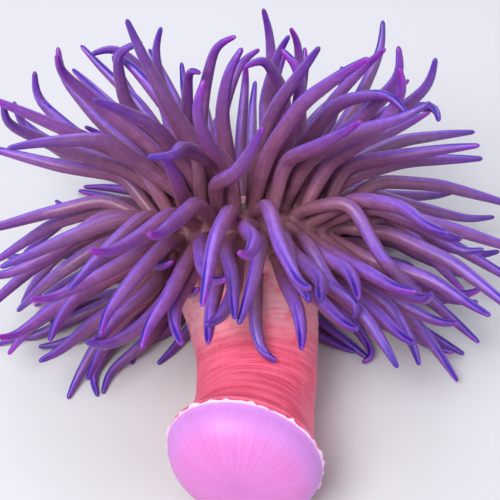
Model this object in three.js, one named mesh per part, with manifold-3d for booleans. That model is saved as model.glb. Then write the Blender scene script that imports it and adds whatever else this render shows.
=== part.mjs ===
// A giant sea anemone, life size, lying on its side on a flat floor.
// The foot has let go of its rock and is puffed up, the column lies along the floor and bends up at its
// far end, and the crown of long tapering tentacles spreads round it on every side.
// Millimetres, +Z up. +Y runs from the foot to the crown, and Z = 0 is the floor.
import * as THREE from "three";
import { mergeVertices } from "three/addons/utils/BufferGeometryUtils.js";
import Module from "manifold-3d";

const wasm = await Module();
wasm.setup();

// ---------------------------------------------------------------- driving dimensions

const GAP = 0.3; // free space that parts which meet keep between them
const BODY_SIDES = 20; // facets round the foot and the column

// The body's centre line, from the middle of the foot's rim to the middle of the crown.
const FOOT_CENTRE = new THREE.Vector3(-3, -42, 41.5);
const WAIST_CENTRE = new THREE.Vector3(3, 0, 33.5);
const SHOULDER_CENTRE = new THREE.Vector3(3, 46, 41);
const CROWN_CENTRE = new THREE.Vector3(-4, 95, 70);
const CROWN_RISE = 38; // degrees that the crown's axis points above the floor
const CROWN_TURN = 3; // degrees that it points to the left of +Y

// The body's radius at the share of the centre line where it is measured.
const GIRTH = [
  { at: 0.0, radius: 40 }, // rim of the foot
  { at: 0.09, radius: 36 }, // groove behind the rim
  { at: 0.3, radius: 34 }, // waist
  { at: 0.52, radius: 35 },
  { at: 0.72, radius: 39 }, // shoulder
  { at: 1.0, radius: 47 }, // flare below the crown
];
const FOOT_DOME = 24; // how far the puffed sole stands out past the rim
const FOOT_PUFF = 0.72; // less than 1 makes the sole's sides fuller
const FOOT_LONG = 1.09; // the foot is longer one way than the other, as shares of its radius,
const FOOT_SHORT = 0.97;
const FOOT_TILT = 33; // and its long way runs down to the right by this many degrees
const CUTS = [0.05, 0.34, 0.64, 1]; // where the body is parted, as shares of its centre line

// The crown is a fleshy ring round the mouth. Its section is given as distance from the crown's axis and
// height along it.
const CROWN_BASE = -14; // height of its underside
const CROWN_TOP = 20; // height of the disc round the mouth
const CROWN_DOMING = 0.0036; // how fast the disc falls away from the mouth, per millimetre
const MOUTH_DISC_RADIUS = 13.2;
const LIP_LENGTH = 8; // half length of the slit's lips
const LIP_THICK = 2.2;

// Tentacles: one ring of them for each entry. `lean` is the angle over the crown's plane at which they leave.
const SECTIONS = 5; // facets round a tentacle
const STATIONS = [0, 0.3, 0.6, 0.89, 1]; // a tentacle's rings and its tip, as shares of its length
const THICKNESS = [0.72, 1, 0.92, 0.56, 0.26]; // its radius there, as a share of the greatest
const ROOT_DEPTH = 3.5; // how deep a tentacle is rooted in the crown
const BANDS = [
  {
    name: "margin",
    sectors: 28,
    inner: 44.6,
    outer: 58.5,
    rings: [
      { each: 1, out: 53, up: -10.2, lean: -34, back: 1.9, length: 108, radius: 4.7 },
      { each: 1, out: 57, up: -3.6, lean: -14, back: 1.4, length: 116, radius: 4.8 },
      { each: 1, out: 57.2, up: 3.6, lean: 8, back: 1, length: 122, radius: 4.8 },
      { each: 1, out: 52.4, up: 9.8, lean: 30, back: 0.7, length: 126, radius: 4.8, parts: true },
    ],
  },
  {
    name: "outer",
    sectors: 12,
    inner: 34,
    outer: 43.9,
    rings: [{ each: 2, out: 39, lean: 52, back: 0.4, length: 128, radius: 5 }],
  },
  {
    name: "middle",
    sectors: 9,
    inner: 24.2,
    outer: 33.5,
    rings: [{ each: 2, out: 29, lean: 64, back: 0.1, sink: 0.25, length: 124, radius: 4.9 }],
  },
  {
    name: "inner",
    sectors: 5,
    inner: 14.2,
    outer: 23.6,
    rings: [{ each: 3, out: 19, lean: 77, back: -0.1, sink: 0, length: 118, radius: 4.5 }],
  },
];
// Tentacles on the near side that are posed by hand: which of the margin's rings one stands in, the angle
// nearest to its root, a place that it passes through, and its tip.
const POSED = [
  { ring: 3, angle: -17, via: [-8, 50, 156], tip: [7, 46, 206] },
  { ring: 3, angle: -41, via: [-38, 61, 150], tip: [-44, 50, 182] },
  { ring: 2, angle: 14, via: [21, 37, 143], tip: [27, 16, 112] },
  { ring: 2, angle: 27, via: [37, 43, 129], tip: [59, 16, 92] },
  { ring: 2, angle: -62, via: [-68, 55, 93], tip: [-42, 39, 112] },
  { ring: 0, angle: -62, via: [-63, 51, 82], tip: [-37, 36, 96] },
  { ring: 2, angle: -76, via: [-85, 63, 107], tip: [-131, 58, 55] },
  { ring: 0, angle: 0, via: [0, 33, 92], tip: [7, 3, 56] },
];
const POSED_GIVE = 0.3; // how far they give way, where the others give way by 1
const LENGTH_SPREAD = 0.13; // share by which lengths differ either way
const LEAN_SPREAD = 8; // degrees
const SWING_SPREAD = 8; // degrees sideways
// On the crown's upper side every second tentacle of a ring that `parts` falls forward, and the rest rise.
const PARTING = { reach: 0.2, fallLean: 6, fall: 2.1, riseLean: 40, riseBack: 0.05 };
const OVER_COLUMN = 0.3; // how much shorter the lowest ring's tentacles are where they hang over the column
const CROWDING = 0.1; // how much closer they stand on the crown's upper side
const ARCH = 0.5; // how much a tentacle sinks along its length
const WANDER = 0.35; // how far it strays to the side
const TIP_CLEAR = 0.9; // free space kept between tentacles
const SETTLING_ROUNDS = 900;
const SHARPEST = 38; // degrees of bend at a station that settling leaves alone
const EASING = 0.0012; // how strongly it eases the gentler bends
const NEAR_ROOT = 15; // distance from its start at which a tentacle is clear of the crown
const ROOT_SWING = 24; // degrees that a root may be pushed away from square to the crown
const TIDYING = 0.22; // facets nearer to flat than this are merged

// ---------------------------------------------------------------- the frame of the crown

const rise = THREE.MathUtils.degToRad(CROWN_RISE);
const turn = THREE.MathUtils.degToRad(CROWN_TURN);
const crownAxis = new THREE.Vector3(
  -Math.sin(turn) * Math.cos(rise),
  Math.cos(turn) * Math.cos(rise),
  Math.sin(rise),
);
const crownRight = new THREE.Vector3().crossVectors(crownAxis, new THREE.Vector3(0, 0, 1)).normalize();
const crownUpper = new THREE.Vector3().crossVectors(crownRight, crownAxis).normalize();

// Angle 0 is the crown's upper side, over the column, and 90 degrees is its right side.
function outwards(angle) {
  return crownUpper.clone().multiplyScalar(Math.cos(angle)).addScaledVector(crownRight, Math.sin(angle));
}

function onCrown(out, up, angle) {
  return CROWN_CENTRE.clone().addScaledVector(outwards(angle), out).addScaledVector(crownAxis, up);
}

// The angle at a share of a whole turn. The crown is drawn together a little on its upper side.
function turnAt(share) {
  return 2 * Math.PI * share - CROWDING * Math.sin(2 * Math.PI * share);
}

function discHeight(out) {
  return CROWN_TOP - CROWN_DOMING * out * out;
}

// ---------------------------------------------------------------- small tools

// The same number between -1 and 1 for the same tentacle and use, every time.
function scatter(index, use) {
  const wave = Math.sin(index * 12.9898 + use * 78.233) * 43758.5453;
  return 2 * (wave - Math.floor(wave)) - 1;
}

function smooth(share) {
  const s = Math.min(1, Math.max(0, share));
  return s * s * (3 - 2 * s);
}

// A closed skin over rings of equal length. Each end is closed with a fan round its own point.
function skinOver(rings, startPoint, endPoint) {
  const sides = rings[0].length;
  const corners = [...rings.flat(), startPoint, endPoint];
  const start = corners.length - 2;
  const end = corners.length - 1;
  const last = (rings.length - 1) * sides;
  const faces = [];
  for (let i = 0; i < sides; i++) {
    const next = (i + 1) % sides;
    faces.push(start, next, i);
    faces.push(end, last + i, last + next);
    for (let ring = 0; ring < last; ring += sides) {
      faces.push(ring + i, ring + next, ring + sides + next);
      faces.push(ring + i, ring + sides + next, ring + sides + i);
    }
  }
  return new THREE.BufferGeometry().setFromPoints(corners).setIndex(faces);
}

function solidOf(geometry) {
  const bare = geometry.clone();
  bare.deleteAttribute("normal");
  bare.deleteAttribute("uv");
  const merged = mergeVertices(bare, 1e-4);
  return new wasm.Manifold(
    new wasm.Mesh({
      numProp: 3,
      vertProperties: new Float32Array(merged.attributes.position.array),
      triVerts: new Uint32Array(merged.index.array),
    }),
  );
}

function geometryOf(solid) {
  const mesh = solid.getMesh();
  const geometry = new THREE.BufferGeometry();
  geometry.setAttribute("position", new THREE.BufferAttribute(mesh.vertProperties, 3));
  geometry.setIndex(new THREE.BufferAttribute(mesh.triVerts, 1));
  geometry.computeVertexNormals();
  return geometry;
}

const FLOOR_SIZE = 1000;
const floorBlock = solidOf(
  new THREE.BoxGeometry(FLOOR_SIZE, FLOOR_SIZE, FLOOR_SIZE).translate(0, 0, -FLOOR_SIZE / 2),
);

// ---------------------------------------------------------------- foot and column

const crownSeat = CROWN_CENTRE.clone().addScaledVector(crownAxis, CROWN_BASE);
const centreLine = new THREE.CatmullRomCurve3([
  FOOT_CENTRE,
  WAIST_CENTRE,
  SHOULDER_CENTRE,
  crownSeat,
  crownSeat.clone().addScaledVector(crownAxis, 30),
]);
const CROWN_SHARE = (() => {
  // The share of the whole curve at which it reaches the crown's underside.
  const lengths = centreLine.getLengths(400);
  return lengths[300] / lengths[400];
})();

function bodyRadius(at) {
  const after = GIRTH.findIndex((g) => g.at >= at);
  if (after === 0) return GIRTH[0].radius;
  if (after < 0) return GIRTH[GIRTH.length - 1].radius;
  const a = GIRTH[after - 1];
  const b = GIRTH[after];
  return a.radius + (b.radius - a.radius) * smooth((at - a.at) / (b.at - a.at));
}

// The body's centre, axis and sideways directions at a share of its length.
function bodyFrame(at) {
  const centre = centreLine.getPointAt(at * CROWN_SHARE);
  const along = centreLine.getTangentAt(at * CROWN_SHARE);
  const right = new THREE.Vector3().crossVectors(along, new THREE.Vector3(0, 0, 1)).normalize();
  const up = new THREE.Vector3().crossVectors(right, along);
  return { centre, along, right, up };
}

function bodyRing(at, radius, push = 0, reach = () => 1) {
  const { centre, along, right, up } = bodyFrame(at);
  const ring = [];
  for (let i = 0; i < BODY_SIDES; i++) {
    const angle = (2 * Math.PI * i) / BODY_SIDES;
    const point = centre.clone().addScaledVector(along, push);
    point.addScaledVector(right, radius * reach(angle) * Math.cos(angle));
    point.addScaledVector(up, -radius * reach(angle) * Math.sin(angle));
    ring.push(point);
  }
  return ring;
}

// How far the foot reaches at an angle, as a share of its radius: an ellipse with its long way tilted.
function footReach(angle) {
  const off = angle - THREE.MathUtils.degToRad(FOOT_TILT);
  return 1 / Math.hypot(Math.cos(off) / FOOT_LONG, Math.sin(off) / FOOT_SHORT);
}

function footSolid() {
  const rings = [];
  const domeSteps = 4;
  for (let step = 1; step <= domeSteps; step++) {
    const lift = (step / domeSteps) * (Math.PI / 2);
    const radius = bodyRadius(0) * Math.sin(lift) ** FOOT_PUFF;
    rings.push(bodyRing(0, radius, -FOOT_DOME * Math.cos(lift), footReach));
  }
  rings.push(bodyRing(CUTS[0], bodyRadius(CUTS[0]), -GAP / 2, footReach));
  const { centre, along } = bodyFrame(0);
  const sole = centre.clone().addScaledVector(along, -FOOT_DOME);
  const back = bodyFrame(CUTS[0]);
  const inside = back.centre.clone().addScaledVector(back.along, -GAP / 2);
  return solidOf(skinOver(rings, sole, inside)).subtract(floorBlock);
}

function columnSolid(from, to) {
  const steps = 3;
  const rings = [];
  for (let step = 0; step <= steps; step++) {
    const at = from + ((to - from) * step) / steps;
    const push = step === 0 ? GAP / 2 : step === steps ? -GAP / 2 : 0;
    rings.push(bodyRing(at, bodyRadius(at), push));
  }
  const first = bodyFrame(from);
  const last = bodyFrame(to);
  const start = first.centre.clone().addScaledVector(first.along, GAP / 2);
  let end = last.centre.clone().addScaledVector(last.along, -GAP / 2);
  if (to === 1) {
    // The last length ends level with the underside of the crown.
    end = onCrown(0, CROWN_BASE - GAP, 0);
    rings[steps] = rings[steps].map((_, i) => {
      const angle = Math.PI / 2 + (2 * Math.PI * i) / BODY_SIDES;
      return onCrown(bodyRadius(1), CROWN_BASE - GAP, angle);
    });
  }
  return solidOf(skinOver(rings, start, end)).subtract(floorBlock);
}

// ---------------------------------------------------------------- tentacles

// Where each tentacle leaves the crown, how it would lie if it met nothing, and how thick it is.
function plantTentacles() {
  const planted = [];
  for (const band of BANDS) {
    for (let sector = 0; sector < band.sectors; sector++) {
      for (const ring of band.rings) {
        for (let part = 0; part < ring.each; part++) {
          const angle = turnAt((sector + (part + 0.5) / ring.each) / band.sectors);
          planted.push(restingTentacle(planted.length, band, sector, ring, angle));
        }
      }
    }
  }
  return planted;
}

// The nearest tentacle to a posed one's angle takes its pose.
function poseByHand(tentacles) {
  const margin = BANDS[0];
  for (const pose of POSED) {
    const wanted = THREE.MathUtils.degToRad(pose.angle);
    const off = (t) => Math.abs(Math.atan2(Math.sin(t.angle - wanted), Math.cos(t.angle - wanted)));
    const ring = tentacles.filter((t) => t.ring === margin.rings[pose.ring]);
    const own = ring.reduce((best, t) => (off(t) < off(best) ? t : best));
    const path = [own.points[0], new THREE.Vector3(...pose.via), new THREE.Vector3(...pose.tip)];
    const curve = new THREE.CatmullRomCurve3(path);
    own.length = curve.getLength();
    own.points = STATIONS.map((share) => curve.getPointAt(share));
    own.rest = own.points.map((point) => point.clone());
    own.leaving = curve.getTangentAt(0);
    own.give = POSED_GIVE;
  }
  return tentacles;
}

function restingTentacle(index, band, sector, ring, angle) {
  const up = ring.up ?? discHeight(ring.out);
  const parted = ring.parts && Math.cos(angle) > PARTING.reach;
  const falls = parted && sector % 2 === 0;
  const rises = parted && !falls;
  const ownLean = falls ? PARTING.fallLean : rises ? PARTING.riseLean : ring.lean;
  const lean = THREE.MathUtils.degToRad(ownLean + LEAN_SPREAD * scatter(index, 1));
  const swing = THREE.MathUtils.degToRad(SWING_SPREAD * scatter(index, 2));
  const leaving = outwards(angle + swing).multiplyScalar(Math.cos(lean));
  leaving.addScaledVector(crownAxis, Math.sin(lean)).normalize();
  const overColumn = ring.lean < -10 ? OVER_COLUMN * Math.max(0, Math.cos(angle)) ** 2 : 0;
  const length = ring.length * (1 + LENGTH_SPREAD * scatter(index, 3)) * (1 - overColumn);
  const radii = THICKNESS.map((share) => share * ring.radius);
  const root = onCrown(ring.out, up, angle).addScaledVector(leaving, -ROOT_DEPTH);
  const arched = outwards(angle + swing).multiplyScalar(0.5).add(leaving);
  arched.addScaledVector(crownAxis, rises ? -PARTING.riseBack : -ring.back);
  const sink = falls ? PARTING.fall : ring.sink ?? ARCH;
  arched.z -= sink * (1 + 0.5 * scatter(index, 4));
  arched.x += WANDER * scatter(index, 5);
  arched.y += WANDER * scatter(index, 6);
  arched.normalize();
  const hooked = scatter(index, 7) > -0.25;
  const curl = THREE.MathUtils.degToRad(hooked ? 75 + 30 * scatter(index, 8) : 20 * scatter(index, 8));
  const curlTo = new THREE.Vector3(scatter(index, 9), scatter(index, 10), 1.1 + scatter(index, 11));
  const hinge = arched.clone().cross(curlTo).normalize();
  const points = [root];
  for (let k = 1; k < STATIONS.length; k++) {
    const step = (STATIONS[k] - STATIONS[k - 1]) * length;
    const middle = (STATIONS[k] + STATIONS[k - 1]) / 2;
    const heading = leaving.clone().lerp(arched, smooth(middle * 1.3)).normalize();
    if (middle > 0.55) heading.applyAxisAngle(hinge, (curl * (middle - 0.55)) / 0.4);
    const next = points[k - 1].clone().addScaledVector(heading, step);
    if (next.z < radii[k]) layDown(next, points[k - 1], radii[k], step);
    points.push(next);
  }
  const rest = points.map((point) => point.clone());
  return { band, ring, sector, angle, points, rest, radii, length, leaving, give: 1 };
}

// Brings a point that would be under the floor up to it, at the same distance from the one before.
function layDown(point, before, height, step) {
  const flat = point.clone().sub(before);
  const drop = height - before.z;
  flat.z = 0;
  if (flat.length() < 1) flat.set(before.x - CROWN_CENTRE.x, before.y - CROWN_CENTRE.y, 0);
  flat.setLength(Math.sqrt(Math.max(1, step * step - drop * drop)));
  flat.z = drop;
  point.copy(before).add(flat);
}

// The closest points of two segments, as shares of each.
function closestShares(p1, q1, p2, q2) {
  const d1 = q1.clone().sub(p1);
  const d2 = q2.clone().sub(p2);
  const r = p1.clone().sub(p2);
  const a = d1.dot(d1);
  const e = d2.dot(d2);
  const f = d2.dot(r);
  const c = d1.dot(r);
  const b = d1.dot(d2);
  const denominator = a * e - b * b;
  const clamp = (v) => Math.min(1, Math.max(0, v));
  let s = denominator > 1e-9 ? clamp((b * f - c * e) / denominator) : 0.5;
  let t = (b * s + f) / e;
  if (t < 0) {
    t = 0;
    s = clamp(-c / a);
  } else if (t > 1) {
    t = 1;
    s = clamp((b - c) / a);
  }
  return [s, t];
}

// Shares out a push between the two ends of a segment. A root never moves.
function pushSegment(tentacle, k, share, push) {
  if (k > 0) {
    tentacle.points[k].addScaledVector(push, 1 - share);
    tentacle.points[k + 1].addScaledVector(push, share);
  } else {
    tentacle.points[1].addScaledVector(push, 1 / Math.max(share, 0.35));
  }
}

function partTentacles(one, i, other, j) {
  const [p1, q1, p2, q2] = [one.points[i], one.points[i + 1], other.points[j], other.points[j + 1]];
  const [s, t] = closestShares(p1, q1, p2, q2);
  const at1 = p1.clone().lerp(q1, s);
  const at2 = p2.clone().lerp(q2, t);
  const r1 = one.radii[i] + (one.radii[i + 1] - one.radii[i]) * s;
  const r2 = other.radii[j] + (other.radii[j + 1] - other.radii[j]) * t;
  const apart = at1.clone().sub(at2);
  const distance = apart.length();
  const wanted = r1 + r2 + TIP_CLEAR;
  if (distance >= wanted) return 0;
  if (distance < 1e-6) apart.set(0, 0, 1);
  apart.setLength((wanted - distance) / (one.give + other.give));
  pushSegment(one, i, s, apart.clone().multiplyScalar(one.give));
  pushSegment(other, j, t, apart.multiplyScalar(-other.give));
  return wanted - distance;
}

// Keeps a point of radius r off the floor, the column and the crown's ring.
const COLUMN_SAMPLES = 26;
const columnBalls = Array.from({ length: COLUMN_SAMPLES }, (_, i) => {
  const at = i / (COLUMN_SAMPLES - 1);
  return { centre: bodyFrame(at).centre, radius: bodyRadius(at) * (at < 0.02 ? FOOT_LONG : 1) };
});
const RING_MIDDLE = { out: 46, up: 0, radius: 14 };
const FLAT_SHARE = Math.cos(Math.PI / SECTIONS); // a facet's distance from the middle, over the radius

function keepOff(point, radius) {
  for (const ball of columnBalls) {
    const away = point.clone().sub(ball.centre);
    const short = ball.radius + radius + GAP - away.length();
    if (short > 0) point.addScaledVector(away.normalize(), short);
  }
  const from = point.clone().sub(CROWN_CENTRE);
  const up = from.dot(crownAxis);
  const side = from.clone().addScaledVector(crownAxis, -up);
  const out = side.length();
  const dOut = out - RING_MIDDLE.out;
  const dUp = up - RING_MIDDLE.up;
  const near = Math.hypot(dOut, dUp);
  const short = RING_MIDDLE.radius + radius + GAP - near;
  if (short > 0 && near > 1e-6) {
    point.addScaledVector(side.normalize(), (short * dOut) / near);
    point.addScaledVector(crownAxis, (short * dUp) / near);
  }
  point.z = Math.max(point.z, radius * FLAT_SHARE);
}

// Lets the tentacles part, lie on the floor and on the column, and keep their lengths and easy bends.
function settle(tentacles) {
  const segments = [];
  tentacles.forEach((t, owner) => {
    for (let k = 0; k + 1 < t.points.length; k++) segments.push({ t, owner, k });
  });
  let worst = 0;
  for (let round = 0; round < SETTLING_ROUNDS; round++) {
    const ease = 0.02 * Math.max(0, 1 - round / (SETTLING_ROUNDS * 0.85));
    for (const t of tentacles) {
      for (let k = 1; k < t.points.length; k++) t.points[k].lerp(t.rest[k], ease);
      straighten(t);
    }
    worst = 0;
    const boxes = segments.map(({ t, k }) => {
      const [p, q] = [t.points[k], t.points[k + 1]];
      const reach = p.distanceTo(q) / 2 + t.radii[k] + TIP_CLEAR;
      return { x: (p.x + q.x) / 2, y: (p.y + q.y) / 2, z: (p.z + q.z) / 2, reach };
    });
    for (let i = 0; i < segments.length; i++) {
      const a = boxes[i];
      for (let j = i + 1; j < segments.length; j++) {
        if (segments[i].owner === segments[j].owner) continue;
        const b = boxes[j];
        const dx = a.x - b.x;
        const dy = a.y - b.y;
        const dz = a.z - b.z;
        const reach = a.reach + b.reach;
        if (dx * dx + dy * dy + dz * dz > reach * reach) continue;
        const short = partTentacles(segments[i].t, segments[i].k, segments[j].t, segments[j].k);
        worst = Math.max(worst, short);
      }
    }
    for (const t of tentacles) {
      keepRoot(t);
      keepLength(t);
      keepOffNearRoot(t);
      for (let k = 1; k < t.points.length; k++) {
        keepOff(t.points[k], t.radii[k]);
        if (k > 1) keepMiddleOff(t, k);
      }
    }
  }
  return worst;
}

function keepMiddleOff(t, k) {
  const middle = t.points[k - 1].clone().lerp(t.points[k], 0.5);
  const clear = middle.clone();
  keepOff(clear, (t.radii[k - 1] + t.radii[k]) / 2);
  clear.sub(middle);
  t.points[k - 1].add(clear);
  t.points[k].add(clear);
}

// Lifts the first length of a tentacle over the parts of the crown beside its root.
function keepOffNearRoot(t) {
  const share = NEAR_ROOT / (STATIONS[1] * t.length);
  const near = t.points[0].clone().lerp(t.points[1], share);
  const clear = near.clone();
  keepOff(clear, t.radii[0]);
  t.points[1].addScaledVector(clear.sub(near), 1 / share);
}

// A root stands nearly square to the crown, as it leaves it.
function keepRoot(t) {
  const heading = t.points[1].clone().sub(t.points[0]);
  const away = heading.angleTo(t.leaving);
  const most = THREE.MathUtils.degToRad(ROOT_SWING);
  if (away <= most) return;
  const hinge = heading.clone().cross(t.leaving).normalize();
  t.points[1].copy(t.points[0]).add(heading.applyAxisAngle(hinge, away - most));
}

function keepLength(t) {
  for (let k = 1; k < t.points.length; k++) {
    const wanted = (STATIONS[k] - STATIONS[k - 1]) * t.length;
    const step = t.points[k].clone().sub(t.points[k - 1]);
    const extra = step.length() - wanted;
    step.normalize();
    t.points[k].addScaledVector(step, -extra * (k === 1 ? 1 : 0.7));
    if (k > 1) t.points[k - 1].addScaledVector(step, extra * 0.3);
  }
}

// Eases every bend a little, and sharp ones more.
function straighten(t) {
  for (let k = 1; k + 2 < t.points.length; k++) {
    const before = t.points[k].clone().sub(t.points[k - 1]);
    const after = t.points[k + 1].clone().sub(t.points[k]);
    const bend = THREE.MathUtils.radToDeg(before.angleTo(after));
    const share = before.length() / (before.length() + after.length());
    const straight = t.points[k - 1].clone().lerp(t.points[k + 1], share);
    t.points[k].lerp(straight, bend > SHARPEST ? 0.2 : EASING);
  }
}

// A tentacle's faceted tube. The facets are turned so that one lies flat where the tentacle is lowest.
function tentacleSolid(t, extra = 0) {
  const headings = t.points.map((p, k) => {
    const before = k > 0 ? p.clone().sub(t.points[k - 1]).normalize() : new THREE.Vector3();
    const next = t.points[k + 1];
    const after = next ? next.clone().sub(p).normalize() : new THREE.Vector3();
    return before.add(after).normalize();
  });
  const lowest = t.points.reduce((best, p, k) => (p.z < t.points[best].z ? k : best), 0);
  const ups = [];
  const carry = (k, up) => {
    const level = up.clone().addScaledVector(headings[k], -up.dot(headings[k]));
    ups[k] = level.normalize();
  };
  const reference = Math.abs(headings[lowest].z) > 0.95 ? crownRight : new THREE.Vector3(0, 0, 1);
  carry(lowest, reference);
  for (let k = lowest + 1; k < t.points.length; k++) carry(k, ups[k - 1]);
  for (let k = lowest - 1; k >= 0; k--) carry(k, ups[k + 1]);
  const rings = t.points.slice(0, -1).map((p, k) => {
    const side = new THREE.Vector3().crossVectors(headings[k], ups[k]);
    const ring = [];
    for (let i = 0; i < SECTIONS; i++) {
      const angle = (2 * Math.PI * i) / SECTIONS;
      const radius = t.radii[k] + extra;
      const point = p.clone().addScaledVector(ups[k], radius * Math.cos(angle));
      point.addScaledVector(side, radius * Math.sin(angle));
      point.z = Math.max(point.z, 0);
      ring.push(point);
    }
    return ring;
  });
  return solidOf(skinOver(rings, t.points[0], t.points[t.points.length - 1]));
}

// ---------------------------------------------------------------- crown

// The section of one band, walked round so that the solid's faces point out.
function bandSection(band) {
  if (band.name !== "margin") {
    return [
      [band.inner, CROWN_BASE],
      [band.outer, CROWN_BASE],
      [band.outer, discHeight(band.outer)],
      [band.inner, discHeight(band.inner)],
    ];
  }
  return [
    [band.inner, CROWN_BASE],
    [49.5, CROWN_BASE],
    [56, -8.5],
    [band.outer, -1],
    [57, 5.5],
    [51, 11],
    [band.inner, discHeight(band.inner)],
  ];
}

function crownPiece(band, sector, extra = 0) {
  const section = bandSection(band).map(([out, up]) => {
    const fromMiddle = new THREE.Vector2(out - (band.inner + band.outer) / 2, up);
    return [out + extra * Math.sign(fromMiddle.x), up + extra * Math.sign(up)];
  });
  const steps = band.name === "margin" ? 1 : 2;
  const rings = [];
  for (let step = steps; step >= 0; step--) {
    const angle = turnAt((sector + step / steps) / band.sectors);
    const inset = step === 0 ? 1 : step === steps ? -1 : 0;
    rings.push(section.map(([out, up]) => onCrown(out, up, angle + (inset * (GAP / 2 - extra)) / out)));
  }
  const hub = (ring) => ring.reduce((sum, p) => sum.add(p), new THREE.Vector3()).divideScalar(ring.length);
  return solidOf(skinOver(rings, hub(rings[0]), hub(rings[steps])));
}

function touching(a, b) {
  const [p, q] = [a.boundingBox(), b.boundingBox()];
  const apart = [0, 1, 2].some((k) => p.min[k] > q.max[k] || q.min[k] > p.max[k]);
  return !apart && a.intersect(b).volume() > 0;
}

function largestPart(solid) {
  return solid.decompose().reduce((best, part) => (part.volume() > best.volume() ? part : best));
}

// Each piece of the crown joined with its own tentacles. Where a tentacle would press into a neighbouring
// piece, or into a tentacle of one, it is dented by it.
function bundlesOf(tentacles) {
  const bundles = [];
  for (const band of BANDS) {
    for (let sector = 0; sector < band.sectors; sector++) {
      const own = tentacles.filter((t) => t.band === band && t.sector === sector);
      bundles.push({
        name: `tentacles_${band.name}_${String(sector + 1).padStart(2, "0")}`,
        piece: crownPiece(band, sector),
        keepOut: crownPiece(band, sector, GAP),
        tubes: own.map((t) => tentacleSolid(t)),
        swollen: own.map((t) => tentacleSolid(t, GAP)),
      });
    }
  }
  bundles.forEach((bundle, i) => {
    const others = bundles.filter((other) => other !== bundle).map((other) => other.keepOut);
    const before = bundles.slice(0, i).flatMap((other) => other.swollen);
    const tubes = bundle.tubes.map((tube) =>
      [...others, ...before].reduce((sum, block) => (touching(sum, block) ? sum.subtract(block) : sum), tube),
    );
    bundle.solid = tubes.reduce((sum, tube) => sum.add(largestPart(tube)), bundle.piece);
  });
  return bundles;
}

function mouthDisc() {
  const sides = 16;
  const ring = (radius, up) =>
    Array.from({ length: sides }, (_, i) => onCrown(radius, up, (2 * Math.PI * i) / sides));
  const rings = [
    ring(MOUTH_DISC_RADIUS, CROWN_BASE),
    ring(MOUTH_DISC_RADIUS, CROWN_TOP - 0.5),
    ring(MOUTH_DISC_RADIUS * 0.6, CROWN_TOP),
  ];
  return solidOf(skinOver(rings, onCrown(0, CROWN_BASE, 0), onCrown(0, CROWN_TOP, 0)));
}

// The lips round the slit: an oval ring with a slot through it.
function lipsSolid() {
  const lip = new THREE.TorusGeometry(LIP_THICK * 1.9, LIP_THICK, 6, 16);
  lip.scale(1, LIP_LENGTH / (LIP_THICK * 2.9), 1);
  const basis = new THREE.Matrix4().makeBasis(crownRight, crownUpper, crownAxis);
  if (basis.determinant() < 0) basis.makeBasis(crownRight.clone().negate(), crownUpper, crownAxis);
  lip.applyMatrix4(basis);
  const seat = onCrown(0, CROWN_TOP + LIP_THICK + GAP, 0);
  lip.translate(seat.x, seat.y, seat.z);
  return solidOf(lip);
}

// ---------------------------------------------------------------- materials and assembly

const footSkin = new THREE.MeshStandardMaterial({ color: 0xf58fd8, roughness: 0.45, metalness: 0 });
const columnSkin = new THREE.MeshStandardMaterial({ color: 0xe95a6b, roughness: 0.45, metalness: 0 });
const crownSkin = new THREE.MeshStandardMaterial({ color: 0x8f5f96, roughness: 0.4, metalness: 0 });

const anemone = new THREE.Group();

function add(name, solid, material) {
  const mesh = new THREE.Mesh(geometryOf(solid), material);
  mesh.name = name;
  anemone.add(mesh);
}

add("pedal_disc", footSolid(), footSkin);
["column_lower", "column_middle", "column_upper"].forEach((name, i) => {
  add(name, columnSolid(CUTS[i], CUTS[i + 1]), columnSkin);
});
add("oral_disc", mouthDisc(), crownSkin);
add("mouth_lips", lipsSolid(), crownSkin);

const tentacles = poseByHand(plantTentacles());
settle(tentacles);
for (const bundle of bundlesOf(tentacles)) {
  add(bundle.name, bundle.solid.asOriginal().simplify(TIDYING), crownSkin);
}

// The origin goes to the floor, under the middle of the whole animal.
const extent = new THREE.Box3().setFromObject(anemone);
const centre = extent.getCenter(new THREE.Vector3());
anemone.position.set(-centre.x, -centre.y, -extent.min.z);

export default anemone;
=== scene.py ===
"""The looks of a giant sea anemone lying on its side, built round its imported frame."""

import math

import bpy
import numpy as np
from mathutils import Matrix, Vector


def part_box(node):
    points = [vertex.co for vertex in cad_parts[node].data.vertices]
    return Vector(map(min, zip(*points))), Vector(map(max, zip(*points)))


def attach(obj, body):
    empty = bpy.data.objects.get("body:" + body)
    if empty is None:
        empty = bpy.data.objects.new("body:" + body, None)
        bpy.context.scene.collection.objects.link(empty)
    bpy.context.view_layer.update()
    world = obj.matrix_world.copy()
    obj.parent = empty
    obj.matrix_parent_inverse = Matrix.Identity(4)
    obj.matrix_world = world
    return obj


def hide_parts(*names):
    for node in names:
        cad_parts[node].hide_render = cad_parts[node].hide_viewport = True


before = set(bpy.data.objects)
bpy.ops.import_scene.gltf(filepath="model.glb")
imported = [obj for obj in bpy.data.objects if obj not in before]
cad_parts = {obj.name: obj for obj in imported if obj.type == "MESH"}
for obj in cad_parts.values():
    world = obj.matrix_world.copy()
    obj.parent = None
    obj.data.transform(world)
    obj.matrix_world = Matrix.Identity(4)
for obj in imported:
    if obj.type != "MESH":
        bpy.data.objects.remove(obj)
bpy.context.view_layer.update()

bl_info = {
    "name": "Sea anemone",
    "version": (1, 0, 0),
    "blender": (4, 5, 0),
    "location": "View3D > Sidebar > Anemone",
    "description": "Builds the skin of a sea anemone round its solid frame",
    "category": "Object",
}

NODES = sorted(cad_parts)
SKIN_NAME = "anemone_skin"
BODY_NAME = "anemone_body"
TENTACLES_NAME = "anemone_tentacles"
MAP_NAME = "OFBake"
MAP_COLUMNS = 34  # the tentacles' places in the map
MAP_ROWS = 5
MAP_FLOOR = 0.25  # the part of the map under this height is the body's
MAP_MARGIN = 0.0015


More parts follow.
